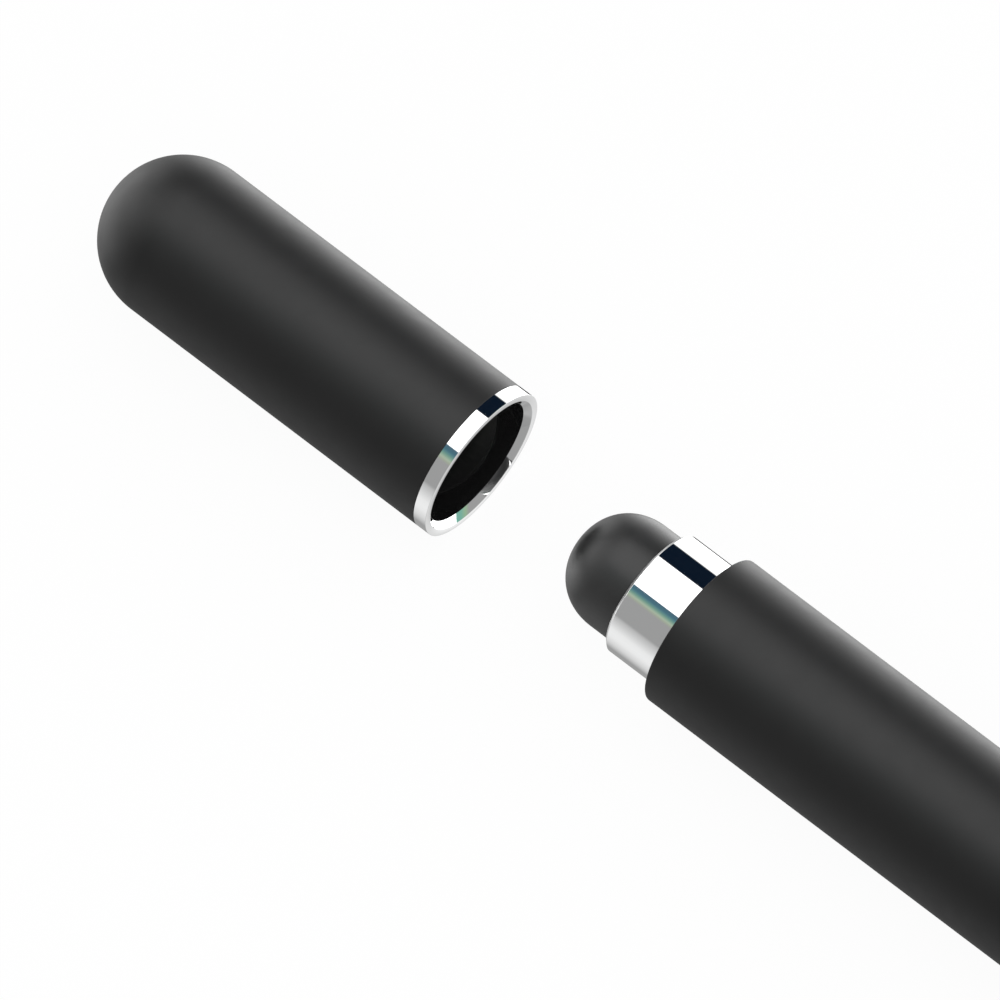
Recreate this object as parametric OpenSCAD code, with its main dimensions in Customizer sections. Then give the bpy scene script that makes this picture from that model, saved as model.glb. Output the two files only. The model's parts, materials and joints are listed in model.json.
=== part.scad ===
// Slim touch-screen stylus with a pull-off magnetic cap and a screw-in hollow rubber nib.
// It lies on its side along X, with the cap pulled off in line with the barrel.
// The nib points to -X and the tail to +X. Every piece is a body of revolution.

/* [Barrel] */
// Outside diameter of the barrel and of the cap
body_d = 9; // [8.9:0.1:11]
// Length of the barrel from its front face to the end of the tail dome
pen_len = 115; // [102:1:150]
// Wall of the barrel tube
barrel_wall = 0.78; // [0.7:0.02:1]
// Small bevel on turned edges
edge_break = 0.06; // [0.03:0.01:0.1]

/* [Collar] */
// How far the plated collar stands out of the barrel
collar_out = 3.43; // [2.6:0.01:5]
// How far the collar reaches into the barrel
collar_in = 6; // [4:0.1:12]
// Bevel on the collar's front rim
collar_bevel = 0.16; // [0.05:0.01:0.2]
// Bevel on the collar's rear rim, which leads it into the barrel
collar_lead = 0.4; // [0.2:0.05:0.8]
// Length of the collar's internal thread
thread_len = 3; // [2:0.1:3.6]
// Nominal diameter of the nib's screw thread
thread_d = 3; // [2.6:0.1:3]

/* [Nib] */
// Diameter of the rubber nib
nib_d = 6.5; // [5.8:0.1:6.7]
// Straight part of the nib that stands out of the collar
nib_straight = 1.45; // [0.5:0.05:3]
// Height of the nib's dome
nib_dome_h = 3.2; // [2:0.1:4.5]
// Fullness of the dome, where 2 is an ellipse and more is squarer
nib_fullness = 2.15; // [1.9:0.05:3]
// Wall of the hollow rubber nib
nib_wall = 0.8; // [0.5:0.05:1]
// Length of the nib's skirt inside the collar
nib_skirt = 0.9; // [0.5:0.05:1.2]
// Length of the core's head inside the rubber
core_head_len = 1.9; // [1.4:0.1:2.3]
// Height of the bead that holds the rubber on the core
core_bead = 0.25; // [0.1:0.05:0.3]
// Length of the core's screw beyond the collar's thread
screw_spare = 0.4; // [0.2:0.1:1]
// Thickness of the sealing ring behind the nib
seal_d = 0.6; // [0.4:0.05:0.8]

/* [Cap] */
// Length of the cap from its mouth to the end of its dome
cap_len = 24.95; // [22:0.05:40]
// Gap between the cap's mouth and the barrel, with the cap pulled off
pull_gap = 14.95; // [10:0.05:40]
// Wall of the cap's outer shell
shell_wall = 0.3; // [0.25:0.01:0.34]
// Width of the bright ring on the outside of the mouth
ring_w = 0.8; // [0.6:0.02:2]
// Depth of the bright ring on the inside of the mouth
ring_lip = 0.32; // [0.32:0.01:0.5]
// Bevel on the inside of the ring, which leads the collar in
ring_bevel = 0.31; // [0.15:0.01:0.31]
// How much wider the ring's bore is than the liner's, all round
ring_relief = 0.02; // [0.01:0.01:0.1]
// Space between the collar and the cap's liner, all round
cap_clear = 0.06; // [0.04:0.01:0.22]
// Length of the ring magnet in the cap
magnet_len = 2; // [1:0.1:4]
// Space between the closed cap's magnet and the collar
magnet_gap = 0.15; // [0.1:0.01:0.5]
// Space between the nib and the magnet's bore, all round
magnet_clear = 0.15; // [0.12:0.01:0.3]
// Step from the magnet's bore out to the insert's bore
insert_step = 0.1; // [0:0.05:0.3]

/* [Counterweight] */
// Diameter of the counterweight rod
weight_d = 4.6; // [4:0.1:6]
// Length of the counterweight rod with its spigots
weight_len = 75; // [40:1:80]
// Diameter of the rod's spigots
weight_spigot_d = 3.6; // [3:0.1:3.8]
// Length of the bushes on the rod's spigots
bush_len = 5; // [3:0.1:8]

/* [Spring] */
// Outside diameter of the contact spring
spring_d = 4.8; // [4.6:0.1:5.6]
// Diameter of the spring wire
spring_wire = 0.4; // [0.25:0.05:0.4]
// Number of open turns of the spring
spring_turns = 11; // [4:1:14]
// Space between the spring and the collar's pocket, all round
spring_clear = 0.3; // [0.1:0.05:0.4]

/* [Tail] */
// Length of the tail plug's spigot inside the barrel
tail_spigot_len = 7; // [4:0.1:12]
// Thickness of the sealing ring on the tail plug
tail_seal_d = 0.8; // [0.5:0.05:1]
// Diameter of the hollow in the tail plug
tail_hollow_d = 4; // [2:0.1:4.4]

/* [Fits] */
// Space left round each pressed or glued seat
fit = 0.02; // [0.01:0.005:0.03]
// Space round the screw in its thread
thread_clear = 0.03; // [0.02:0.01:0.05]
// Space between the nib's skirt and the collar
nib_clear = 0.05; // [0.03:0.01:0.08]

/* [Hidden] */
$fn = 96;
body_r = body_d / 2;
axis_z = body_r;

// Places along X
total_len = cap_len + pull_gap + pen_len;
mouth_x = cap_len - total_len / 2;
front_x = mouth_x + pull_gap;

// Radii, from the barrel inwards
bore_r = body_r - barrel_wall;
collar_r = bore_r - fit;
nib_r = nib_d / 2;
socket_r = nib_r + nib_clear;
thread_r = thread_d / 2;
tapped_r = thread_r + thread_clear;
pocket_r = spring_d / 2 + spring_clear;

// Depths measured from the barrel's front face, positive towards the tail
nib_back_z = nib_skirt - collar_out;
socket_z = nib_back_z + seal_d;
thread_end_z = socket_z + thread_len;
tail_seam_z = pen_len - body_r;
weight_back_z = tail_seam_z - tail_spigot_len;
weight_front_z = weight_back_z - weight_len;

// Radii of the cap, from its shell inwards
shell_bore_r = body_r - shell_wall;
inner_seat_r = shell_bore_r - fit;
liner_bore_r = collar_r + cap_clear;
ring_bore_r = liner_bore_r + ring_relief;
magnet_bore_r = nib_r + magnet_clear;
insert_bore_r = magnet_bore_r + insert_step;

// Depths measured from the cap's mouth, negative towards its dome
magnet_z = -(collar_out + magnet_gap);
insert_z = magnet_z - magnet_len;
dome_z = body_r - cap_len;

// Nib
cavity_r = nib_r - nib_wall;
dome_base_z = -collar_out - nib_straight;
core_top_z = nib_back_z - core_head_len;
bead_mid_z = nib_back_z - core_head_len / 2;
dome_steps = 28;

// Seals and spring
seal_mid_r = tapped_r + seal_d / 2;
seal_squeeze = 0.02;
tail_groove_w = tail_seal_d + 0.2;
tail_groove_z = weight_back_z + tail_spigot_len / 2;
tail_end_wall = 1.2;
spring_sides = 6;
spring_rings = 12;
spring_dead_turns = 1.25;
spring_dead_pitch = spring_wire + 0.08;
spring_seat = 0.03;

matt_black = [0.16, 0.16, 0.165];
gloss_black = [0.05, 0.05, 0.055];
soft_black = [0.1, 0.1, 0.1];
bright_plate = [0.82, 0.84, 0.86];
plain_steel = [0.6, 0.61, 0.62];
yellow_brass = [0.78, 0.62, 0.3];

// Lays a piece that was turned about Z onto the pen's axis, its zero at x
module on_axis(x) {
    translate([x, 0, axis_z]) rotate([0, 90, 0]) children();
}

// A plain sleeve from z0 to z1
module sleeve(r_out, r_in, z0, z1) {
    rotate_extrude()
        translate([r_in, z0]) square([r_out - r_in, z1 - z0]);
}

// The right half of a bar whose lower end is a half circle about end_z
module domed_half(r, end_z, top_z) {
    intersection() {
        union() {
            translate([0, end_z]) circle(r);
            translate([0, end_z]) square([r, top_z - end_z]);
        }
        translate([0, end_z - r]) square([r, top_z - end_z + r]);
    }
}

// A quarter superellipse from the rim (r, z0) out to the axis at z0 - h
function quarter(r, h, power, z0, steps) = [
    for (i = [0 : steps])
        let (t = 90 * i / steps)
        i == steps
            ? [0, z0 - h]
            : [r * pow(cos(t), 2 / power), z0 - h * pow(sin(t), 2 / power)]
];

function reversed(list) = [for (i = [len(list) - 1 : -1 : 0]) list[i]];

// Drawn outer shell of the cap, a tube with a round end and an even wall
module cap_shell() {
    color(matt_black) on_axis(mouth_x) rotate_extrude() difference() {
        domed_half(body_r, dome_z, -ring_w);
        domed_half(shell_bore_r, dome_z, 1);
    }
}

// Bright ring at the mouth: its skirt goes over the liner's end and its lip covers it
module cap_ring() {
    color(bright_plate) on_axis(mouth_x) rotate_extrude() polygon([
        [shell_bore_r, -ring_w],
        [body_r, -ring_w],
        [body_r, -edge_break],
        [body_r - edge_break, 0],
        [ring_bore_r + ring_bevel, 0],
        [ring_bore_r, -ring_bevel],
        [ring_bore_r, -ring_lip],
        [shell_bore_r, -ring_lip]
    ]);
}

// Moulded sleeve that the collar slides in
module cap_liner() {
    color(gloss_black) on_axis(mouth_x)
        sleeve(inner_seat_r, liner_bore_r, magnet_z, -ring_lip);
}

// Ring magnet that pulls the cap onto the steel collar
module cap_magnet() {
    color(plain_steel) on_axis(mouth_x)
        sleeve(inner_seat_r, magnet_bore_r, insert_z, magnet_z);
}

// Moulded cup that backs the magnet and clears the nib
module cap_insert() {
    color(gloss_black) on_axis(mouth_x) rotate_extrude() difference() {
        domed_half(inner_seat_r, dome_z, insert_z);
        domed_half(insert_bore_r, dome_z, 1);
    }
}

// Barrel tube
module barrel() {
    color(matt_black) on_axis(front_x) rotate_extrude() polygon([
        [bore_r, 0],
        [body_r - edge_break, 0],
        [body_r, edge_break],
        [body_r, tail_seam_z],
        [bore_r, tail_seam_z]
    ]);
}

// Plated steel collar: a socket for the nib's skirt, a thread, and a pocket for the spring
module collar() {
    color(bright_plate) on_axis(front_x) rotate_extrude() polygon([
        [socket_r + edge_break, -collar_out],
        [collar_r - collar_bevel, -collar_out],
        [collar_r, collar_bevel - collar_out],
        [collar_r, collar_in - collar_lead],
        [collar_r - collar_lead, collar_in],
        [pocket_r, collar_in],
        [pocket_r, thread_end_z],
        [tapped_r, thread_end_z],
        [tapped_r, socket_z],
        [socket_r, socket_z],
        [socket_r, edge_break - collar_out]
    ]);
}

// Hollow conductive rubber nib, with a groove inside for the core's bead
module nib_dome() {
    outside = quarter(nib_r, nib_dome_h, nib_fullness, dome_base_z, dome_steps);
    inside = quarter(cavity_r, nib_dome_h - nib_wall, nib_fullness, dome_base_z, dome_steps);
    color(soft_black) on_axis(front_x) rotate_extrude() polygon(concat(
        [
            [cavity_r, nib_back_z],
            [nib_r - edge_break, nib_back_z],
            [nib_r, nib_back_z - edge_break]
        ],
        outside,
        reversed(inside),
        [
            [cavity_r, bead_mid_z - 2 * core_bead],
            [cavity_r + core_bead, bead_mid_z - core_bead],
            [cavity_r + core_bead, bead_mid_z + core_bead],
            [cavity_r, bead_mid_z + 2 * core_bead]
        ]
    ));
}

// Brass core of the nib: a beaded head in the rubber and a screw in the collar
module nib_core() {
    head_r = cavity_r - fit;
    screw_end_z = thread_end_z + screw_spare;
    color(yellow_brass) on_axis(front_x) rotate_extrude() polygon([
        [0, core_top_z],
        [head_r - core_bead, core_top_z],
        [head_r, core_top_z + core_bead],
        [head_r, bead_mid_z - 2 * core_bead],
        [head_r + core_bead, bead_mid_z - core_bead],
        [head_r + core_bead, bead_mid_z + core_bead],
        [head_r, bead_mid_z + 2 * core_bead],
        [head_r, nib_back_z],
        [thread_r, nib_back_z],
        [thread_r, screw_end_z - screw_spare / 2],
        [thread_r - screw_spare / 2, screw_end_z],
        [0, screw_end_z]
    ]);
}

// Rubber ring between the nib and the floor of the collar's socket
module nib_seal() {
    color(soft_black) on_axis(front_x) rotate_extrude()
        translate([seal_mid_r, nib_back_z + seal_d / 2])
            circle(seal_d / 2 - seal_squeeze, $fn = 32);
}

// Height of the wire's middle after some turns: close turns at both ends, open ones between
function spring_z(turn, len) =
    let (
        dead_h = spring_dead_turns * spring_dead_pitch,
        open_h = len - spring_wire - 2 * (dead_h + spring_seat),
        open_turn = min(max(turn - spring_dead_turns, 0), spring_turns),
        dead_turn = turn - open_turn
    )
    spring_seat + spring_wire / 2 + dead_turn * spring_dead_pitch + open_h * open_turn / spring_turns;

// Coil spring that joins the collar to the counterweight
module contact_spring() {
    mid_r = (spring_d - spring_wire) / 2;
    spring_len = weight_front_z - thread_end_z;
    all_turns = spring_turns + 2 * spring_dead_turns;
    ring_count = round(all_turns * spring_rings);
    points = [
        for (i = [0 : ring_count])
            let (a = 360 * i / spring_rings, z = spring_z(i / spring_rings, spring_len))
            for (k = [0 : spring_sides - 1])
                let (
                    b = 360 * k / spring_sides,
                    r = mid_r + spring_wire / 2 * cos(b)
                )
                [r * cos(a), r * sin(a), z + spring_wire / 2 * sin(b)]
    ];
    faces = concat(
        [[for (k = [0 : spring_sides - 1]) k]],
        [
            for (i = [0 : ring_count - 1], k = [0 : spring_sides - 1], half = [0, 1])
                let (
                    here = i * spring_sides,
                    next = here + spring_sides,
                    k2 = (k + 1) % spring_sides
                )
                half == 0
                    ? [here + k, next + k, next + k2]
                    : [here + k, next + k2, here + k2]
        ],
        [[for (k = [spring_sides - 1 : -1 : 0]) ring_count * spring_sides + k]]
    );
    color(plain_steel) on_axis(front_x) translate([0, 0, thread_end_z])
        polyhedron(points, faces);
}

// Steel rod that gives the pen its weight, with a spigot at each end
module counterweight() {
    spigot_r = weight_spigot_d / 2;
    rod_r = weight_d / 2;
    color(plain_steel) on_axis(front_x) rotate_extrude() polygon([
        [0, weight_front_z],
        [spigot_r, weight_front_z],
        [spigot_r, weight_front_z + bush_len],
        [rod_r, weight_front_z + bush_len],
        [rod_r, weight_back_z - bush_len],
        [spigot_r, weight_back_z - bush_len],
        [spigot_r, weight_back_z],
        [0, weight_back_z]
    ]);
}

// Soft bush between a spigot of the rod and the barrel
module weight_bush(z0) {
    color(soft_black) on_axis(front_x)
        sleeve(bore_r - fit, weight_spigot_d / 2 + fit, z0, z0 + bush_len);
}

module weight_bush_front() {
    weight_bush(weight_front_z);
}

module weight_bush_rear() {
    weight_bush(weight_back_z - bush_len);
}

// Tail plug: the pen's round end, with a grooved spigot and a hollow
module tail_plug() {
    spigot_r = bore_r - fit;
    groove_r = spigot_r - tail_seal_d;
    color(matt_black) on_axis(front_x) rotate_extrude() difference() {
        union() {
            intersection() {
                translate([0, tail_seam_z]) circle(body_r);
                translate([0, tail_seam_z]) square(body_r);
            }
            translate([0, weight_back_z]) square([spigot_r, tail_spigot_len]);
        }
        translate([groove_r, tail_groove_z - tail_groove_w / 2])
            square([spigot_r, tail_groove_w]);
        translate([0, weight_back_z - 1])
            square([tail_hollow_d / 2, tail_spigot_len + 1 - tail_end_wall]);
    }
}

// Rubber ring in the plug's groove
module tail_o_ring() {
    color(soft_black) on_axis(front_x) rotate_extrude()
        translate([bore_r - fit - tail_seal_d / 2, tail_groove_z])
            circle(tail_seal_d / 2 - fit, $fn = 32);
}

cap_shell();
cap_ring();
cap_liner();
cap_magnet();
cap_insert();
barrel();
collar();
nib_dome();
nib_core();
nib_seal();
contact_spring();
weight_bush_front();
counterweight();
weight_bush_rear();
tail_plug();
tail_o_ring();
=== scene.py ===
# %% [markdown]
# # A slim stylus with its cap pulled off
# The pen lies on a pale table with its magnetic cap drawn off in line with the barrel. Almost every
# piece of it was turned on a lathe or drawn in a round die, so almost every piece here starts as an
# outline in the pen's own plane and is spun once round the pen's axis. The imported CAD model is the
# frame: it says where each piece is, and nothing here moves it.

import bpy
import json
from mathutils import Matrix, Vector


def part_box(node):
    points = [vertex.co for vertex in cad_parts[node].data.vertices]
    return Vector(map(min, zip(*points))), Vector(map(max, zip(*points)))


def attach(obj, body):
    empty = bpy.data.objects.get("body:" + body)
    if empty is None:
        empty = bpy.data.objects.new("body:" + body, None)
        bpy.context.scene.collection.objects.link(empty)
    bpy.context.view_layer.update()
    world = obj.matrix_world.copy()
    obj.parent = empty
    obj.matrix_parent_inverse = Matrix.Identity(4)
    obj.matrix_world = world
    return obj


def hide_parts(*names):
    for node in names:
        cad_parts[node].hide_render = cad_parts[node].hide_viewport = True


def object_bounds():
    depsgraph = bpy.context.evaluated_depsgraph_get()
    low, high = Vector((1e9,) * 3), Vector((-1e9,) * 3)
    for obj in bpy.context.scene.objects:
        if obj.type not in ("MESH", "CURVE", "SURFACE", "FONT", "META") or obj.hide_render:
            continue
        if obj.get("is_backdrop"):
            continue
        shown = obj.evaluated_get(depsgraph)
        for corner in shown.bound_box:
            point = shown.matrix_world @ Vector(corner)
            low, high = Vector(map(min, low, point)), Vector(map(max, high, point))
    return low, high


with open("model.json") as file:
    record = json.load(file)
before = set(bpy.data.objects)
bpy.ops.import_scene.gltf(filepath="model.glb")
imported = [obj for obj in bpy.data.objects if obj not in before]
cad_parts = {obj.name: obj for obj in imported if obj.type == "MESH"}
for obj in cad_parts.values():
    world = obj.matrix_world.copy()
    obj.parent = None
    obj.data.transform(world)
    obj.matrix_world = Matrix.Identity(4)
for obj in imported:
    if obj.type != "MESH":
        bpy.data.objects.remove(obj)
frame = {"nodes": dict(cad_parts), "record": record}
cad_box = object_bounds()
print("CAD nodes:", len(frame["nodes"]))

# %% [markdown]
# ## Sizes from the frame
# A drawing office would hand over one sheet of sizes. Here the frame is that sheet. The barrel's
# mount holds the exact radius and the height of the axis, and the box of each node gives its ends
# along X. A node's lowest point lies straight under the axis, so the axis height less that point is
# the node's radius, free of the small error of a faceted circle.

# %% Read the places and the radii
import json
import math

import bmesh
import bpy
from mathutils import Vector

MM = 0.001
grip = frame["record"]["mounts"][0]
AXIS_Z = grip["pos_m"][2]
BODY_R = grip["dims"]["r_mm"] * MM


def ends(node):
    low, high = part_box(node)
    return low.x, high.x


def radius(node):
    return AXIS_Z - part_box(node)[0].z


CAP_TIP_X, CAP_SEAM_X = ends("cap_shell")
MOUTH_X = ends("cap_ring")[1]
FRONT_X, TAIL_SEAM_X = ends("barrel")
COLLAR_X, COLLAR_BACK_X = ends("collar")
NIB_TIP_X, NIB_BACK_X = ends("nib_dome")
COLLAR_R = radius("collar")
NIB_R = radius("nib_dome")
print(f"cap {1000 * (MOUTH_X - CAP_TIP_X):.2f} mm long, barrel {2000 * BODY_R:.2f} mm across")
print(f"collar {2000 * COLLAR_R:.2f} mm across, nib {2000 * NIB_R:.2f} mm across")

# %% [markdown]
# ## An outline as a wire
# A lathe needs an outline and an axis. The outline is a list of corners, each with its place along
# X, its radius, and how far the corner is broken. The corners become a wire of vertices and edges,
# and a vertex bevel rounds the broken ones. Rounding the wire is simpler than a bevel on the
# finished skin, where each ring of edges would have to be found first.

# %% An outline as a wire
BREAK_SEGMENTS = 3


def wire(mesh, outline, closed):
    """Lays an outline of (x, r, round) corners as a wire, and rounds its corners."""
    corners = [mesh.verts.new((x, 0, AXIS_Z + r)) for x, r, _ in outline]
    for a, b in zip(corners, corners[1:]):
        mesh.edges.new((a, b))
    if closed:
        mesh.edges.new((corners[-1], corners[0]))
    for size in sorted({size for _, _, size in outline if size}):
        chosen = [v for v, corner in zip(corners, outline) if corner[2] == size]
        bmesh.ops.bevel(mesh, geom=chosen, offset=size, offset_type="OFFSET",
                        segments=BREAK_SEGMENTS, profile=0.5, affect="VERTICES", material=-1)


print("edges across a broken corner:", BREAK_SEGMENTS)

# %% [markdown]
# ## Smooth skins with sharp edges
# Every finished mesh becomes an object in the same way. It is shaded smooth, but every edge over
# 12 degrees is marked sharp, so a flat beside a broken corner keeps its true normal, which polished
# metal shows at once. Weighted normals let the big faces decide where a long wall runs into a dome.

# %% Smooth skins with sharp edges
SHARP_ANGLE = math.radians(12)
BIG_FACES_FIRST = 100


def new_object(name, mesh):
    """Turns a finished bmesh into a smooth object with its sharp edges marked."""
    data = bpy.data.meshes.new(name)
    mesh.to_mesh(data)
    mesh.free()
    data.shade_smooth()
    data.set_sharp_from_angle(angle=SHARP_ANGLE)
    piece = bpy.data.objects.new(name, data)
    bpy.context.scene.collection.objects.link(piece)
    even = piece.modifiers.new("even_flats", "WEIGHTED_NORMAL")
    even.keep_sharp = True
    even.weight = BIG_FACES_FIRST
    return piece


print(f"edges over {math.degrees(SHARP_ANGLE):.0f} degrees stay sharp")

# %% [markdown]
# ## One lathe for all pieces
# A full spin carries the wire once round the axis, and `use_merge` closes the skin where the last
# step meets the first. Points that lie on the axis are merged too. Spinning can leave the skin
# inside out, so the normals are worked out again at the end.

# %% The lathe
SPIN_STEPS = 240
MERGE_DISTANCE = 1e-8


def turned(name, outline, closed=True, steps=SPIN_STEPS):
    """Spins an outline once round the pen's axis."""
    mesh = bmesh.new()
    wire(mesh, outline, closed)
    bmesh.ops.spin(mesh, geom=mesh.verts[:] + mesh.edges[:], cent=(0, 0, AXIS_Z), axis=(1, 0, 0),
                   angle=math.tau, steps=steps, use_merge=True)
    bmesh.ops.remove_doubles(mesh, verts=mesh.verts, dist=MERGE_DISTANCE)
    bmesh.ops.recalc_face_normals(mesh, faces=mesh.faces)
    piece = new_object(name, mesh)
    print(f"{name}: {len(piece.data.polygons)} faces")
    return piece


print("steps in a turn of the lathe:", SPIN_STEPS)

# %% [markdown]
# ## Round ends
# The drawn cap ends in a half sphere. Its outline is a quarter circle from the wall to the axis,
# and the wall has the same thickness all the way round, so the inside is a smaller quarter circle
# about the same centre.

# %% A quarter circle
DOME_STEPS = 40


def quarter(centre_x, size, side):
    """Corners from the wall to the axis, with side -1 for a dome towards the cap's tip."""
    turns = [math.pi / 2 * i / DOME_STEPS for i in range(DOME_STEPS + 1)]
    return [(centre_x + side * size * math.sin(t), size * math.cos(t), 0) for t in turns]


print("corners of a round end:", DOME_STEPS + 1)

# %% [markdown]
# ## Cap shell
# The real shell is drawn from sheet in a press, so it is thin and seamless, and then it is sprayed
# matt black. A solid of revolution could be a scaled sphere joined to a cylinder, but their joint
# would catch the light, so wall and dome are one outline.

# %% Cap shell
SHELL_WALL = 0.3 * MM
EDGE_BREAK = 0.05 * MM

dome_x = CAP_TIP_X + BODY_R
shell_bore_r = BODY_R - SHELL_WALL
shell_outline = [(CAP_SEAM_X, BODY_R, EDGE_BREAK)]
shell_outline += quarter(dome_x, BODY_R, -1)
shell_outline += quarter(dome_x, shell_bore_r, -1)[::-1]
shell_outline += [(CAP_SEAM_X, shell_bore_r, 0)]
cap_shell = turned("cap_shell_skin", shell_outline)
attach(cap_shell, "cap")
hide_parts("cap_shell")

# %% [markdown]
# ## Mouth ring
# A bright ring closes the shell's thin edge. It is turned from brass and plated, its skirt goes
# over the liner's end, and a cone inside leads the collar in. Its corners are almost sharp: the
# photograph has no highlight along its rims, so they are broken by a hundredth of a millimetre,
# and the cone meets the liner with no land between them.

# %% Mouth ring
RING_LIP = 0.32 * MM
RING_EDGE_R = 4.09 * MM
RING_BREAK = 0.01 * MM

ring_x = CAP_SEAM_X
ring_outline = [
    (ring_x, shell_bore_r, 0),
    (ring_x, BODY_R, 0),
    (MOUTH_X, BODY_R, RING_BREAK),
    (MOUTH_X, RING_EDGE_R, RING_BREAK),
    (MOUTH_X - RING_LIP, RING_EDGE_R - RING_LIP, 0),
    (MOUTH_X - RING_LIP, shell_bore_r, 0),
]
cap_ring = turned("cap_ring_bright", ring_outline)
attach(cap_ring, "cap")
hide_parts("cap_ring")

# %% [markdown]
# ## Liner
# Inside the shell a glossy moulded sleeve guides the collar. Only its first few millimetres show,
# as a black bore with the magnet behind it mirrored faintly in its wall.

# %% Liner
LINER_BORE_R = 3.76 * MM

liner_back_x, liner_front_x = ends("cap_liner")
liner_r = radius("cap_liner")
liner_outline = [
    (liner_back_x, LINER_BORE_R, 0),
    (liner_back_x, liner_r, 0),
    (liner_front_x, liner_r, 0),
    (liner_front_x, LINER_BORE_R, 0),
]
cap_liner = turned("cap_liner_sleeve", liner_outline)
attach(cap_liner, "cap")
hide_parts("cap_liner")

# %% [markdown]
# ## Barrel
# The barrel is a plain tube, cut square and sprayed like the cap. Its front edge is almost sharp
# in the photograph, so the break there stays small.

# %% Barrel
BARREL_BORE_R = COLLAR_R + 0.02 * MM
SEAM_BREAK = 0.04 * MM

barrel_outline = [
    (FRONT_X, BARREL_BORE_R, 0),
    (FRONT_X, BODY_R, EDGE_BREAK),
    (TAIL_SEAM_X, BODY_R, SEAM_BREAK),
    (TAIL_SEAM_X, BARREL_BORE_R, 0),
]
barrel = turned("barrel_tube", barrel_outline)
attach(barrel, "pen")
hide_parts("barrel")

# %% [markdown]
# ## Tail plug
# The rear end repeats the cap's round end. It is a solid plug with a spigot in the tube, a groove
# for its rubber ring, and a hollow that saves weight. The seam to the barrel is a fine line, made
# by the small breaks on both sides of it.

# %% Tail plug
TAIL_HOLLOW_R = 2 * MM
TAIL_END_WALL = 1.2 * MM
TAIL_GROOVE_W = 1 * MM
TAIL_GROOVE_DEPTH = 0.8 * MM

plug_x = ends("tail_plug")[0]
groove_x = sum(ends("tail_o_ring")) / 2
groove_r = COLLAR_R - TAIL_GROOVE_DEPTH
tail_dome = quarter(TAIL_SEAM_X, BODY_R, 1)
plug_outline = [
    (TAIL_SEAM_X - TAIL_END_WALL, 0, 0),
    (TAIL_SEAM_X - TAIL_END_WALL, TAIL_HOLLOW_R, 0),
    (plug_x, TAIL_HOLLOW_R, 0),
    (plug_x, COLLAR_R, EDGE_BREAK),
    (groove_x - TAIL_GROOVE_W / 2, COLLAR_R, 0),
    (groove_x - TAIL_GROOVE_W / 2, groove_r, 0),
    (groove_x + TAIL_GROOVE_W / 2, groove_r, 0),
    (groove_x + TAIL_GROOVE_W / 2, COLLAR_R, 0),
    (TAIL_SEAM_X, COLLAR_R, 0),
    (TAIL_SEAM_X, BODY_R, SEAM_BREAK),
] + tail_dome[1:]
tail_plug = turned("tail_plug_dome", plug_outline, closed=False)
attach(tail_plug, "pen")
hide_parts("tail_plug")

# %% [markdown]
# ## Collar
# The collar is turned from steel and plated bright. From the front it holds a socket for the nib's
# skirt, then a tapped hole for the core's screw, then a pocket for the spring. The fine bevel on
# its rim is the thin light line that the photograph shows between the nib and the metal. It is
# duller than the rest, as a tool leaves it, so its faces take a second material.

# %% Collar
SOCKET_GAP = 0.05 * MM
COLLAR_BEVEL = 0.16 * MM
COLLAR_LEAD = 0.4 * MM
RIM_BREAK = 0.01 * MM
SEAL_D = 0.6 * MM
THREAD_LEN = 3 * MM
TAPPED_R = 1.53 * MM
POCKET_R = 2.7 * MM

bevel_end_x = COLLAR_X + COLLAR_BEVEL
bevel_foot_r = COLLAR_R - COLLAR_BEVEL
socket_r = NIB_R + SOCKET_GAP
socket_x = NIB_BACK_X + SEAL_D
thread_end_x = socket_x + THREAD_LEN
collar_outline = [
    (COLLAR_X, socket_r, RIM_BREAK),
    (COLLAR_X, bevel_foot_r, RIM_BREAK),
    (bevel_end_x, COLLAR_R, RIM_BREAK),
    (COLLAR_BACK_X - COLLAR_LEAD, COLLAR_R, 0),
    (COLLAR_BACK_X, COLLAR_R - COLLAR_LEAD, 0),
    (COLLAR_BACK_X, POCKET_R, 0),
    (thread_end_x, POCKET_R, 0),
    (thread_end_x, TAPPED_R, 0),
    (socket_x, TAPPED_R, 0),
    (socket_x, socket_r, 0),
]
collar = turned("collar_bright", collar_outline)
rim_faces = [
    face for face in collar.data.polygons if face.center.x < bevel_end_x
    and math.hypot(face.center.y, face.center.z - AXIS_Z) > bevel_foot_r
]
for face in rim_faces:
    face.material_index = 1
print("faces of the rim's bevel:", len(rim_faces))
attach(collar, "pen")
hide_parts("collar")

# %% [markdown]
# ## Rubber nib
# The nib is a hollow moulding of soft conductive rubber. Its end is a little fuller than a half
# ellipse: a superellipse, in which both coordinates are raised to the same power. The hollow behind
# it follows the same rule with a smaller size, so the wall stays even and the tip gives way under
# a light press. A groove inside grips the bead on the metal core.

# %% Rubber nib
NIB_DOME_H = 3.2 * MM
NIB_FULLNESS = 2.15
NIB_WALL = 0.8 * MM
NIB_STEPS = 64
NIB_EDGE = 0.08 * MM
HEAD_LEN = 1.9 * MM
BEAD = 0.25 * MM

nib_base_x = NIB_TIP_X + NIB_DOME_H
cavity_r = NIB_R - NIB_WALL
bead_x = NIB_BACK_X - HEAD_LEN / 2


def full_dome(base_x, size, height):
    """Corners of a superellipse from the wall to the axis, towards the nib's tip."""
    power = 2 / NIB_FULLNESS
    turns = [math.pi / 2 * i / NIB_STEPS for i in range(NIB_STEPS)]
    rim = [(base_x - height * math.sin(t) ** power, size * math.cos(t) ** power, 0) for t in turns]
    return rim + [(base_x - height, 0, 0)]


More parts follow.
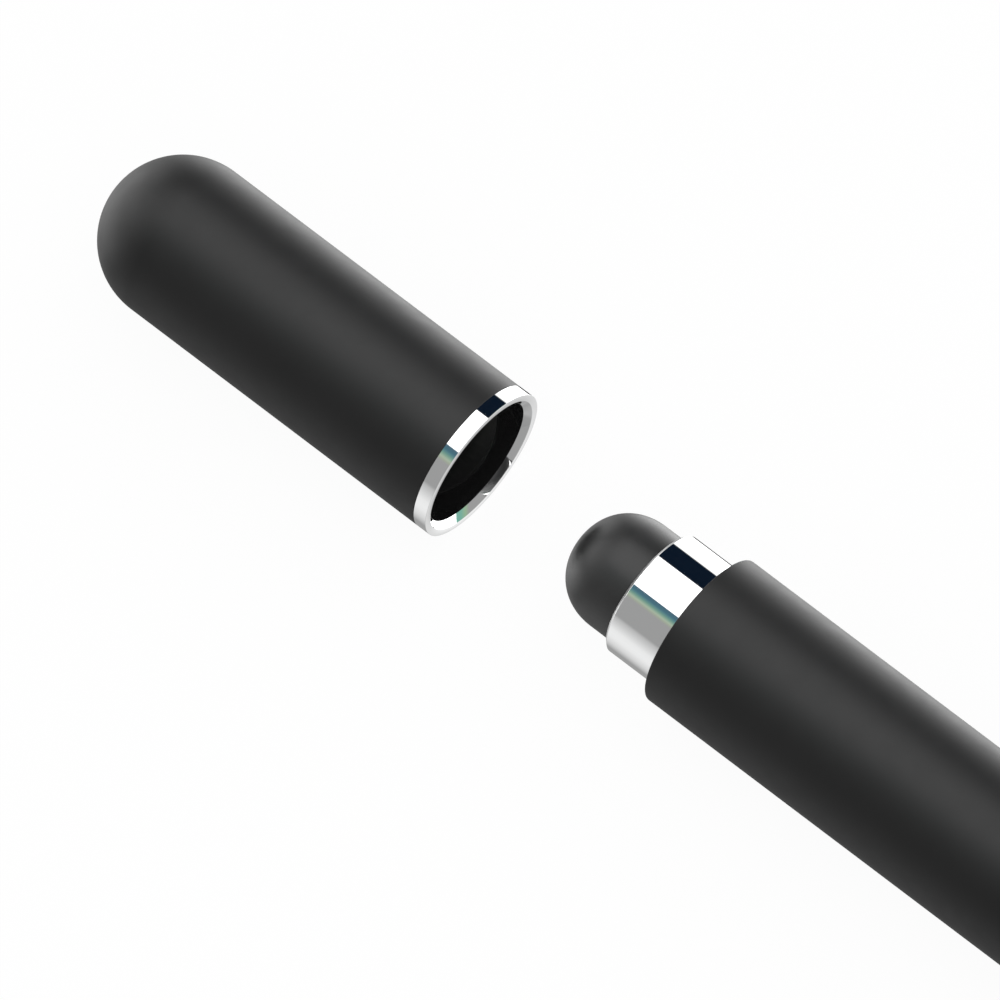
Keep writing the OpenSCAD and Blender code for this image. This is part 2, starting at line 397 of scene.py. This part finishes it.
nib_outline = [(NIB_BACK_X, cavity_r, 0), (NIB_BACK_X, NIB_R, NIB_EDGE)]
nib_outline += full_dome(nib_base_x, NIB_R, NIB_DOME_H)
nib_outline += full_dome(nib_base_x, cavity_r, NIB_DOME_H - NIB_WALL)[::-1]
nib_outline += [
    (bead_x - 2 * BEAD, cavity_r, 0),
    (bead_x - BEAD, cavity_r + BEAD, 0),
    (bead_x + BEAD, cavity_r + BEAD, 0),
    (bead_x + 2 * BEAD, cavity_r, 0),
]
nib = turned("nib_rubber_dome", nib_outline)
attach(nib, "nib")
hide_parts("nib_dome")

# %% [markdown]
# ## The core's thread
# The nib's core is a brass screw with a beaded head. A thread could be faked with rings, but it
# would not climb. `spin` can also move along its axis at each step, which makes a true helix: an
# outline of exactly one pitch, root to root, is spun with that move, so each turn meets the one
# before it and merging their shared points closes the skin. The helix runs on past both ends of the
# screw, and two cuts with `bisect_plane` trim it flat there.

# %% The core's thread
PITCH = 0.5 * MM
THREAD_R = 1.5 * MM
ROOT_R = 1.2 * MM
CREST_SHARE = 0.15
RUN_IN_TURNS = 1.5
SPARE_TURNS = 2
THREAD_STEPS = 64
THREAD_MERGE = 1e-6

head_x, screw_end_x = ends("nib_core")
thread_x = NIB_BACK_X
screw_turns = math.ceil((screw_end_x - thread_x) / PITCH) + SPARE_TURNS


def cut(mesh, x, side):
    """Cuts the mesh at x, drops what lies on that side and fills the hole."""
    found = bmesh.ops.bisect_plane(mesh, geom=mesh.verts[:] + mesh.edges[:] + mesh.faces[:],
                                   plane_co=(x, 0, 0), plane_no=(side, 0, 0), clear_outer=True)
    rim = [e for e in found["geom_cut"] if isinstance(e, bmesh.types.BMEdge)]
    bmesh.ops.holes_fill(mesh, edges=rim, sides=0)


core = bmesh.new()
start_x = thread_x - RUN_IN_TURNS * PITCH
corners = [
    (start_x, ROOT_R),
    (start_x + PITCH * (0.5 - CREST_SHARE), THREAD_R),
    (start_x + PITCH * (0.5 + CREST_SHARE), THREAD_R),
    (start_x + PITCH, ROOT_R),
]
flank = [core.verts.new((x, 0, AXIS_Z + r)) for x, r in corners]
flank_edges = [core.edges.new(pair) for pair in zip(flank, flank[1:])]
bmesh.ops.spin(core, geom=flank + flank_edges, cent=(0, 0, AXIS_Z), axis=(1, 0, 0),
               dvec=(PITCH / THREAD_STEPS, 0, 0), angle=math.tau * screw_turns,
               steps=THREAD_STEPS * screw_turns)
bmesh.ops.remove_doubles(core, verts=core.verts, dist=THREAD_MERGE)
cut(core, thread_x, -1)
cut(core, screw_end_x, 1)
bmesh.ops.recalc_face_normals(core, faces=core.faces)
core_screw = new_object("nib_core_screw", core)
print(f"nib_core_screw: {len(core_screw.data.polygons)} faces, {screw_turns} turns spun")

# %% [markdown]
# ## The core's head
# The head fills the rubber nib's hollow, and its bead sits in the groove there. It is an outline
# spun as usual, and it takes the CAD core's place together with the thread.

# %% The core's head
HEAD_GAP = 0.02 * MM
HEAD_STEPS = 96

head_r = cavity_r - HEAD_GAP
head_outline = [
    (head_x, 0, 0),
    (head_x, head_r, BEAD),
    (bead_x - 2 * BEAD, head_r, 0),
    (bead_x - BEAD, head_r + BEAD, 0),
    (bead_x + BEAD, head_r + BEAD, 0),
    (bead_x + 2 * BEAD, head_r, 0),
    (thread_x, head_r, RIM_BREAK),
    (thread_x, 0, 0),
]
core_head = turned("nib_core_head", head_outline, closed=False, steps=HEAD_STEPS)
for part in (core_head, core_screw):
    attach(part, "nib")
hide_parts("nib_core")

# %% [markdown]
# ## Finishes
# Each finish is a node tree round one Principled shader. What is the same all over a surface is
# set on the shader's own socket. What varies, such as the grain of the spray or the marks of the
# tool, is read from Object coordinates, which are metres here, so a noise scale of 5000 gives
# grains of about a fifth of a millimetre.

# %% A bare finish
def new_finish(name, **constants):
    """A material with one Principled shader, whose constant sockets are set by name."""
    finish = bpy.data.materials.new(name)
    finish.use_nodes = True
    tree = finish.node_tree
    shader = tree.nodes["Principled BSDF"]
    for socket, value in constants.items():
        shader.inputs[socket.replace("_", " ")].default_value = value
    place = tree.nodes.new("ShaderNodeTexCoord").outputs["Object"]
    return finish, tree, shader, place


def told(finish):
    """Prints how many nodes a finish has, and hands it on."""
    print(f"{finish.name}: {len(finish.node_tree.nodes)} nodes")
    return finish


# %% [markdown]
# ## Noise
# Grain and clouds are even noise. Tool marks are the same noise in a place that is stretched along
# one axis, which draws it out into lines. A wave texture would draw lines too, but all alike.

# %% Noise
PLAIN_DETAIL = 2.0


def stretched(tree, place, scale):
    """The place, scaled by an amount along each of X, Y and Z."""
    mapping = tree.nodes.new("ShaderNodeMapping")
    mapping.inputs["Scale"].default_value = scale
    tree.links.new(place, mapping.inputs["Vector"])
    return mapping.outputs["Vector"]


def noise(tree, place, scale, detail=PLAIN_DETAIL, rough=0.5):
    """Even noise from 0 to 1."""
    texture = tree.nodes.new("ShaderNodeTexNoise")
    texture.inputs["Scale"].default_value = scale
    texture.inputs["Detail"].default_value = detail
    texture.inputs["Roughness"].default_value = rough
    tree.links.new(place, texture.inputs["Vector"])
    return texture.outputs["Fac"]


print("detail of a plain noise:", PLAIN_DETAIL)

# %% [markdown]
# ## What a noise drives
# The middle of a noise, from 0.3 to 0.7, holds nearly all of its values. So that stretch is spread
# over the range that a finish names, for its roughness or for its colour. The same noise can also
# raise the surface, as relief of a height in metres.

# %% What a noise drives
NOISE_LOW = 0.3
NOISE_HIGH = 0.7


def spread(tree, value, low, high, target):
    """Spreads the middle of a noise between two values and links it to a socket."""
    scale = tree.nodes.new("ShaderNodeMapRange")
    scale.inputs["From Min"].default_value = NOISE_LOW
    scale.inputs["From Max"].default_value = NOISE_HIGH
    scale.inputs["To Min"].default_value = low
    scale.inputs["To Max"].default_value = high
    tree.links.new(value, scale.inputs["Value"])
    tree.links.new(scale.outputs["Result"], target)


def tinted(tree, value, dark, light, target):
    """Mixes two colours by a noise and links the result to a socket."""
    ramp = tree.nodes.new("ShaderNodeValToRGB")
    ramp.color_ramp.elements[0].position = NOISE_LOW
    ramp.color_ramp.elements[0].color = (*dark, 1)
    ramp.color_ramp.elements[1].position = NOISE_HIGH
    ramp.color_ramp.elements[1].color = (*light, 1)
    tree.links.new(value, ramp.inputs["Fac"])
    tree.links.new(ramp.outputs["Color"], target)


def raised(tree, value, height, strength, shader):
    """Turns a pattern into relief of a height in metres."""
    bump = tree.nodes.new("ShaderNodeBump")
    bump.inputs["Strength"].default_value = strength
    bump.inputs["Distance"].default_value = height
    tree.links.new(value, bump.inputs["Height"])
    tree.links.new(bump.outputs["Normal"], shader.inputs["Normal"])


print(f"noise from {NOISE_LOW} to {NOISE_HIGH} is spread over each range")

# %% [markdown]
# ## Matt black spray
# The cap and the barrel have a soft matt coat with a very fine grain. It is a dark dielectric: the
# colour is almost black, and the broad grey bands are reflections of the room, blurred by the
# rough surface. The grain is finer than a tenth of a millimetre and lifts the surface by about a
# micron, so it softens the bands and never shows as bumps.

# %% Matt black spray
def matt_spray():
    finish, tree, shader, place = new_finish("matt_black_spray", Specular_IOR_Level=0.5)
    cloud = noise(tree, place, scale=350, detail=3)
    tinted(tree, cloud, (0.0012, 0.0012, 0.0013), (0.0024, 0.0024, 0.0025), shader.inputs["Base Color"])
    spread(tree, noise(tree, place, scale=900, detail=3), 0.48, 0.52, shader.inputs["Roughness"])
    grain = noise(tree, place, scale=16000)
    raised(tree, grain, height=0.0015 * MM, strength=0.35, shader=shader)
    return finish


matt_black = told(matt_spray())

# %% [markdown]
# ## Bright plate
# Plated metal is a near mirror. Its colour comes from the room, so the shader has a pale neutral
# base and a low roughness, with faint polishing lines that run round the piece. The collar's bevel
# was plated as the tool left it, so the same metal is satin there.

# %% Bright plate
def plated(name, colour, low_rough, high_rough, relief):
    finish, tree, shader, place = new_finish(name, Metallic=1.0, Base_Color=(*colour, 1))
    lines = noise(tree, stretched(tree, place, (30000, 400, 400)), scale=1)
    spread(tree, lines, low_rough, high_rough, shader.inputs["Roughness"])
    raised(tree, lines, height=relief, strength=0.2, shader=shader)
    return finish


bright_plate = told(plated("bright_plate", colour=(0.945, 0.95, 0.95), low_rough=0.03,
                           high_rough=0.05, relief=0.00004 * MM))
satin_plate = told(plated("satin_plate", colour=(0.54, 0.54, 0.54), low_rough=0.32,
                          high_rough=0.38, relief=0.0003 * MM))

# %% [markdown]
# ## Black mouldings
# The insert is glossy plastic, as the mould left it. The liner is smoother still and has a hard
# lacquer, so that the collar glides in it. Its wall is a black mirror, which shows the pale magnet
# behind it faintly. That takes a full specular level and a very low roughness.

# %% Black mouldings
def gloss_moulding():
    finish, tree, shader, place = new_finish("gloss_black_moulding", Specular_IOR_Level=0.5)
    cloud = noise(tree, place, scale=500)
    tinted(tree, cloud, (0.006, 0.006, 0.0062), (0.009, 0.009, 0.0092), shader.inputs["Base Color"])
    spread(tree, noise(tree, place, scale=700), 0.07, 0.11, shader.inputs["Roughness"])
    waves = noise(tree, place, scale=1500)
    raised(tree, waves, height=0.001 * MM, strength=0.3, shader=shader)
    return finish


def lacquered_bore():
    finish, tree, shader, place = new_finish("lacquered_bore", Specular_IOR_Level=1.0, IOR=1.6)
    cloud = noise(tree, place, scale=500)
    tinted(tree, cloud, (0.0078, 0.0078, 0.008), (0.0112, 0.0112, 0.0114), shader.inputs["Base Color"])
    spread(tree, noise(tree, place, scale=700), 0.01, 0.02, shader.inputs["Roughness"])
    waves = noise(tree, place, scale=1500)
    raised(tree, waves, height=0.0001 * MM, strength=0.1, shader=shader)
    return finish


gloss_black = told(gloss_moulding())
liner_lacquer = told(lacquered_bore())

# %% [markdown]
# ## Rubbers
# The nib's filled silicone rubber is matt with a slight oily sheen, and its grain is a little
# coarser than the spray's. The rubber of the seals and bushes is darker, rougher and coarser still.

# %% Rubbers
def nib_rubber():
    finish, tree, shader, place = new_finish("nib_rubber", Specular_IOR_Level=0.5)
    cloud = noise(tree, place, scale=600, detail=3)
    tinted(tree, cloud, (0.0162, 0.0164, 0.0165), (0.0212, 0.0214, 0.0215), shader.inputs["Base Color"])
    spread(tree, noise(tree, place, scale=1200, detail=3), 0.38, 0.42, shader.inputs["Roughness"])
    grain = noise(tree, place, scale=12000)
    raised(tree, grain, height=0.002 * MM, strength=0.3, shader=shader)
    return finish


def seal_rubber():
    finish, tree, shader, place = new_finish("seal_rubber", Specular_IOR_Level=0.4)
    cloud = noise(tree, place, scale=900, detail=3)
    tinted(tree, cloud, (0.008, 0.008, 0.008), (0.013, 0.013, 0.013), shader.inputs["Base Color"])
    spread(tree, noise(tree, place, scale=1500), 0.5, 0.62, shader.inputs["Roughness"])
    grain = noise(tree, place, scale=8000)
    raised(tree, grain, height=0.004 * MM, strength=0.4, shader=shader)
    return finish


soft_nib_rubber = told(nib_rubber())
black_seal_rubber = told(seal_rubber())

# %% [markdown]
# ## Bare metals
# The inner metal parts keep their tool marks: fine rings round the axis, which a noise stretched
# across the axis draws. Brass, steel and the magnet's nickel differ in colour and in shine.

# %% Bare metals
def turned_metal(name, dark, light, low_rough, high_rough, lines_per_metre):
    finish, tree, shader, place = new_finish(name, Metallic=1.0)
    drawn_out = stretched(tree, place, (lines_per_metre, 60, 60))
    lines = noise(tree, drawn_out, scale=1, detail=3, rough=0.6)
    tinted(tree, lines, dark, light, shader.inputs["Base Color"])
    spread(tree, lines, low_rough, high_rough, shader.inputs["Roughness"])
    raised(tree, lines, height=0.002 * MM, strength=0.35, shader=shader)
    return finish


brass = turned_metal("turned_brass", dark=(0.62, 0.42, 0.16), light=(0.78, 0.57, 0.26),
                     low_rough=0.2, high_rough=0.34, lines_per_metre=9000)
steel = turned_metal("plain_steel", dark=(0.4, 0.41, 0.42), light=(0.56, 0.57, 0.58),
                     low_rough=0.24, high_rough=0.4, lines_per_metre=7000)
nickel = turned_metal("magnet_plate", dark=(0.46, 0.46, 0.45), light=(0.54, 0.54, 0.53),
                      low_rough=0.7, high_rough=0.8, lines_per_metre=4000)
for metal in (brass, steel, nickel):
    told(metal)

# %% [markdown]
# ## Hand out the finishes
# A new piece gets the finish of its slot. The collar takes the satin plate as a second material,
# for its bevel, and the liner takes the lacquer in place of the plain moulding. A CAD node that
# stays keeps its mesh, and the finish is set in its own material slot.

# %% Hand out the finishes
finishes = {
    "matt_black_metal": matt_black,
    "bright_plate": bright_plate,
    "gloss_black_plastic": gloss_black,
    "nib_rubber": soft_nib_rubber,
    "seal_rubber": black_seal_rubber,
    "turned_brass": brass,
    "plain_steel": steel,
    "magnet_plate": nickel,
}
new_pieces = {
    "matt_black_metal": [cap_shell, barrel, tail_plug],
    "bright_plate": [cap_ring, collar],
    "nib_rubber": [nib],
    "turned_brass": [core_head, core_screw],
}
for slot, pieces in new_pieces.items():
    for piece in pieces:
        piece.data.materials.append(finishes[slot])
collar.data.materials.append(satin_plate)
cap_liner.data.materials.append(liner_lacquer)

for row in frame["record"]["subparts"]:
    cad_node = frame["nodes"][row["node"]]
    for material_slot in cad_node.material_slots:
        material_slot.material = finishes[row["material_slot"]]
print("finishes:", ", ".join(sorted(finishes)))

# %% [markdown]
# ## The room in bays
# Bright metal and matt black show little but the room, so the room is the picture. A product
# studio hangs a softbox overhead, a dark flag behind it and a grey wall in front, and their edges
# make the crisp bands on the collar. The room could be built from panels and lamps, but a world
# that draws it costs nothing to render and can't be caught by the camera. It is drawn as bays
# along the pen, from past the cap's end to the wall behind the tail. A bay is a strip of stops,
# each with an angle round the pen's axis, from the horizon behind the pen over the top to the
# horizon in front and back under the table. A lamp is brighter than white paper, so its stops go
# over 1. Past the cap the room is bright but for two dark gaps: the cone in the cap's mouth mirrors
# the collar's flat front, and the gaps keep that front dark there, as the photograph has it.

# %% Stops of the bays
scene = bpy.context.scene
scene.view_settings.view_transform = "Standard"


def grey(level):
    return (level, level, level)


FLAG = (0.0034, 0.0085, 0.019)
SOFTBOX = grey(1.9)
WALL = grey(0.34)
# The table drawn in the room's lower half darkens towards the stops straight under the pen: a painted shadow
# of the pen on the table.
PAINTED_SHADOW_UNDER_PEN = grey(0.345)
TEAL = (0.194, 0.44, 0.355)
GREEN = (0.307, 0.463, 0.302)
BAYS = {
    "past_the_cap": [
        (0, grey(2.3)), (40, grey(2.3)), (46, grey(0.06)), (64, grey(0.06)), (70, grey(2.3)),
        (153, grey(2.3)), (159, grey(0.12)), (180, grey(0.12)), (186, grey(2.3)), (360, grey(2.3)),
    ],
    "at_the_caps_end": [
        (0, grey(0.46)), (15, grey(0.02)), (34, grey(0.02)), (53, grey(0.41)), (69, grey(0.88)),
        (85, grey(1.15)), (101, grey(1.07)), (117, grey(0.92)), (134, grey(0.96)), (195, grey(0.95)),
        (215, grey(1.14)), (235, grey(1.17)), (257, grey(0.94)), (290, grey(1.32)),
        (310, grey(0.96)), (330, grey(0.58)), (345, grey(0.69)), (360, grey(0.46)),
    ],
    "beside_the_cap": [
        (0, grey(0.9)), (15, grey(0.4)), (34, grey(0.1)), (53, grey(0.32)), (69, grey(0.8)),
        (85, grey(1.22)), (101, grey(1.1)), (117, grey(0.88)), (134, grey(0.7)), (156, grey(0.2)),
        (178, grey(0)), (235, grey(0)), (257, grey(0.45)), (290, grey(0.5)), (310, grey(0.4)),
        (330, grey(0.6)), (345, grey(1.05)), (360, grey(0.9)),
    ],
    "level_with_the_pen": [
        (0, grey(1.8)), (14.6, grey(1.0)), (15.3, FLAG), (53.6, FLAG), (54.6, SOFTBOX),
        (115.9, SOFTBOX), (116.6, (0.07, 0.137, 0.187)), (122.4, (0.068, 0.167, 0.216)),
        (125.0, (0.105, 0.235, 0.255)), (127.7, (0.158, 0.312, 0.263)),
        (130.3, (0.263, 0.400, 0.307)), (133.2, (0.406, 0.490, 0.380)),
        (135.5, (0.360, 0.400, 0.320)), (139.0, WALL), (176.3, WALL), (181.0, grey(0.5)),
        (191.0, grey(0.65)), (204.0, grey(0.85)), (214.0, grey(0.88)), (222.0, grey(0.86)),
        (238.0, grey(0.69)), (246.0, grey(0.55)), (257.0, PAINTED_SHADOW_UNDER_PEN), (292.5, PAINTED_SHADOW_UNDER_PEN),
        (295.0, grey(0.05)), (309.5, grey(0.05)), (312.0, grey(1.2)), (322.0, grey(3.5)),
        (335.0, grey(3.8)), (350.0, grey(2.5)), (360, grey(1.8)),
    ],
    "across_the_pen": [
        (0, grey(1.5)), (14.6, grey(0.8)), (15.3, FLAG), (53.6, FLAG), (54.6, SOFTBOX),
        (115.9, SOFTBOX), (116.6, (0.07, 0.137, 0.187)), (139.0, WALL), (165.0, WALL),
        (181.0, grey(0.26)), (214.0, grey(0.4)), (246.0, grey(0.26)), (270.0, grey(0.36)),
        (292.5, grey(0.36)), (308.5, grey(0.36)), (311.0, grey(1.4)), (322.0, grey(3.4)),
        (335.0, grey(3.8)), (350.0, grey(2.3)), (360, grey(1.5)),
    ],
    "towards_the_tail": [
        (0, grey(2.9)), (85, grey(2.9)), (101, grey(2.4)), (117, grey(1.65)), (134, grey(0.75)),
        (156, grey(0.05)), (200, grey(0.02)), (222, grey(0.3)), (245, grey(0.33)),
        (250, grey(0.43)), (258, grey(0.43)), (290, grey(0.76)), (310, grey(1.6)),
        (330, grey(2.4)), (360, grey(2.9)),
    ],
    "edge_of_the_tail_wall": [(0, TEAL), (60, TEAL), (100, WALL), (300, WALL), (330, TEAL), (360, TEAL)],
    "side_of_the_tail_wall": [(0, GREEN), (60, GREEN), (100, WALL), (300, WALL), (330, GREEN), (360, GREEN)],
    "tail_wall": [(0, WALL), (360, WALL)],
}
for bay, stops in BAYS.items():
    print(f"{bay}: {len(stops)} stops")

# %% [markdown]
# ## Nodes by name
# The room and the table need many small nodes. Two helpers keep their cells short: `node` adds a
# node and fills its inputs by name, and `maths` works out one sum. Each input can be a plain value
# or the output of another node, which is then linked.

# %% Nodes by name
def node(tree, kind, **inputs):
    """Adds a node and fills its inputs, by name, with a value or with a link."""
    made = tree.nodes.new(kind)
    for name, value in inputs.items():
        socket = made.inputs[name.replace("_", " ")]
        if isinstance(value, bpy.types.NodeSocket):
            tree.links.new(value, socket)
        else:
            socket.default_value = value
    return made


def maths(tree, operation, first, second=0.0):
    """The result of a sum on two values or sockets."""
    made = tree.nodes.new("ShaderNodeMath")
    made.operation = operation
    for socket, value in zip(made.inputs, (first, second)):
        if isinstance(value, bpy.types.NodeSocket):
            tree.links.new(value, socket)
        else:
            socket.default_value = value
    return made.outputs["Value"]


print("helpers for node trees: node, maths")

# %% [markdown]
# ## From a bay to the next
# A direction's X says how far along the room it points. Where one bay gives way to the next, the
# two are mixed over a short stretch of X. The far end of the room, past the tail, is a plain grey
# wall with a tinted edge. In the picture only the cone in the cap's mouth looks that way.

# %% Where the bays meet
SEAMS = {
    "at_the_caps_end": (-0.9, -0.72),
    "beside_the_cap": (-0.72, -0.55),
    "level_with_the_pen": (-0.55, -0.42),
    "across_the_pen": (-0.27, -0.2),
    "towards_the_tail": (0.15, 0.35),
    "edge_of_the_tail_wall": (0.635, 0.645),
    "side_of_the_tail_wall": (0.717, 0.776),
    "tail_wall": (0.776, 0.82),
}
FULL_TURN = 360


def colours_round(tree, share_of_turn, stops):
    """A colour ramp over a share of a full turn, with its stops given in degrees."""
    ramp = node(tree, "ShaderNodeValToRGB", Fac=share_of_turn)
    elements = ramp.color_ramp.elements
    for element, (angle, colour) in zip(elements[:], (stops[0], stops[-1])):
        element.position = angle / FULL_TURN
        element.color = (*colour, 1)
    for angle, colour in stops[1:-1]:
        elements.new(angle / FULL_TURN).color = (*colour, 1)
    return ramp.outputs["Color"]


def blended(tree, value, span, before, after):
    """Goes from one colour to another while a value crosses a span."""
    share = node(tree, "ShaderNodeMapRange", Value=value, From_Min=span[0], From_Max=span[1])
    return node(tree, "ShaderNodeMixRGB", Fac=share.outputs["Result"], Color1=before,
                Color2=after).outputs["Color"]


for bay, (start, end) in SEAMS.items():
    print(f"{bay}: begins at X {start} and is whole from {end}")

# %% [markdown]
# ## The world
# `Generated` gives the direction of a ray. Its angle round the pen's axis is the arc tangent of Z
# over Y, turned into a share of a full turn, which every bay's ramp reads. Only mirror rays see
# this room. The matt part of a finish gets an even light of 1 instead, so that a colour looks as
# it is written, and the camera sees plain white.

# %% The world
def seen_by(tree, *kinds):
    """1 where the ray is of one of these kinds, such as Is Camera Ray, and 0 elsewhere."""
    ray = tree.nodes.new("ShaderNodeLightPath")
    total = ray.outputs[kinds[0]]
    for kind in kinds[1:]:
        total = maths(tree, "MAXIMUM", total, ray.outputs[kind])
    return total


world = bpy.data.worlds.new("studio_room")
scene.world = world
world.use_nodes = True
tree = world.node_tree
tree.nodes.clear()
direction = tree.nodes.new("ShaderNodeTexCoord").outputs["Generated"]
axes = node(tree, "ShaderNodeSeparateXYZ", Vector=direction).outputs
turn = maths(tree, "DIVIDE", maths(tree, "ARCTAN2", axes["Z"], axes["Y"]), math.tau)
share_of_turn = maths(tree, "FRACT", turn)

strips = {bay: colours_round(tree, share_of_turn, stops) for bay, stops in BAYS.items()}
drawn = strips["past_the_cap"]
for bay, seam in SEAMS.items():
    drawn = blended(tree, axes["X"], seam, drawn, strips[bay])

room = node(tree, "ShaderNodeBackground", Color=drawn)
even_white = node(tree, "ShaderNodeBackground", Color=(1, 1, 1, 1))
choose = node(tree, "ShaderNodeMixShader", Fac=seen_by(tree, "Is Glossy Ray", "Is Transmission Ray"))
tree.links.new(even_white.outputs["Background"], choose.inputs[1])
tree.links.new(room.outputs["Background"], choose.inputs[2])
node(tree, "ShaderNodeOutputWorld", Surface=choose.outputs["Shader"])
print("world nodes:", len(tree.nodes))

# %% [markdown]
# ## The table
# The table is white, and the photograph shows almost no shadow on it. A diffuse floor alone would
# come out grey where the pen shades it, so for the camera most of its brightness is its own and
# the rest is lit. The pen keeps a faint contact shadow, and the light that bounces up from the
# table is left as it is. Mirror rays go through the table into the lower half of the room, which
# has the pale table drawn in it, with a painted shadow of the pen straight under it.

# %% The table's surface
FLOOR_OWN_LIGHT = 0.95
FLOOR_COLOUR = 0.93

table = bpy.data.materials.new("pale_table")
table.use_nodes = True
tree = table.node_tree
tree.nodes.clear()
lit = node(tree, "ShaderNodeBsdfDiffuse", Color=(*grey(FLOOR_COLOUR), 1))
own = node(tree, "ShaderNodeEmission", Color=(1, 1, 1, 1), Strength=1.0)
own_share = maths(tree, "MULTIPLY", seen_by(tree, "Is Camera Ray"), FLOOR_OWN_LIGHT)
blend = node(tree, "ShaderNodeMixShader", Fac=own_share)
tree.links.new(lit.outputs["BSDF"], blend.inputs[1])
tree.links.new(own.outputs["Emission"], blend.inputs[2])
clear = node(tree, "ShaderNodeBsdfTransparent")
through = node(tree, "ShaderNodeMixShader", Fac=seen_by(tree, "Is Glossy Ray", "Is Transmission Ray"))
tree.links.new(blend.outputs["Shader"], through.inputs[1])
tree.links.new(clear.outputs["BSDF"], through.inputs[2])
node(tree, "ShaderNodeOutputMaterial", Surface=through.outputs["Shader"])
print("table material nodes:", len(tree.nodes))

# %% [markdown]
# ## The table's top
# One flat square does for the table, far larger than the picture.

# %% The table's top
FLOOR_SIZE = 8.0

floor_mesh = bmesh.new()
bmesh.ops.create_grid(floor_mesh, x_segments=1, y_segments=1, size=FLOOR_SIZE / 2)
floor_data = bpy.data.meshes.new("table_top")
floor_mesh.to_mesh(floor_data)
floor_mesh.free()
floor_data.materials.append(table)
table_top = bpy.data.objects.new("table_top", floor_data)
scene.collection.objects.link(table_top)
table_top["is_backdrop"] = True
print(f"table {FLOOR_SIZE} m square")

# %% [markdown]
# ## The camera
# The edges of the barrel run parallel in the photograph, so it was taken from far away with a very
# long lens. The camera looks down at 62.5 degrees, from in front of the pen and 40 degrees round
# towards its tail, so it sees into the cap's mouth. A 1500 mm lens at about two metres gives the
# same picture. Its aim is the point on the axis that the middle of the photograph shows, set over
# a little across the pen.

# %% The camera
AZIMUTH = math.radians(40.38)
ELEVATION = math.radians(62.47)
LENS = 1500
SENSOR = 36
FRAME_WIDTH = 52.07 * MM
AIM_FROM_DOME = 22.40 * MM
AIM_ACROSS = -0.852 * MM

back = Vector((
    math.sin(AZIMUTH) * math.cos(ELEVATION),
    -math.cos(AZIMUTH) * math.cos(ELEVATION),
    math.sin(ELEVATION),
))
across = back.cross(Vector((1, 0, 0))).normalized()
aim = Vector((dome_x + AIM_FROM_DOME, 0, AXIS_Z)) + across * AIM_ACROSS
distance = FRAME_WIDTH * LENS / SENSOR

lens = bpy.data.cameras.new("long_lens")
lens.lens = LENS
lens.sensor_width = SENSOR
lens.clip_start = distance / 2
lens.clip_end = distance * 2
camera = bpy.data.objects.new("camera", lens)
camera.location = aim + back * distance
camera.rotation_euler = back.to_track_quat("Z", "Y").to_euler()
scene.collection.objects.link(camera)
scene.camera = camera
print(f"camera {distance:.3f} m from its aim at {[round(1000 * c, 2) for c in aim]} mm")

# %% Compare the boxes and finish
shown_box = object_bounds()
boxes = {"cad": [list(corner) for corner in cad_box], "shown": [list(corner) for corner in shown_box]}
for name, (low, high) in boxes.items():
    print(name, "box in mm:", [round(1000 * (b - a), 3) for a, b in zip(low, high)])
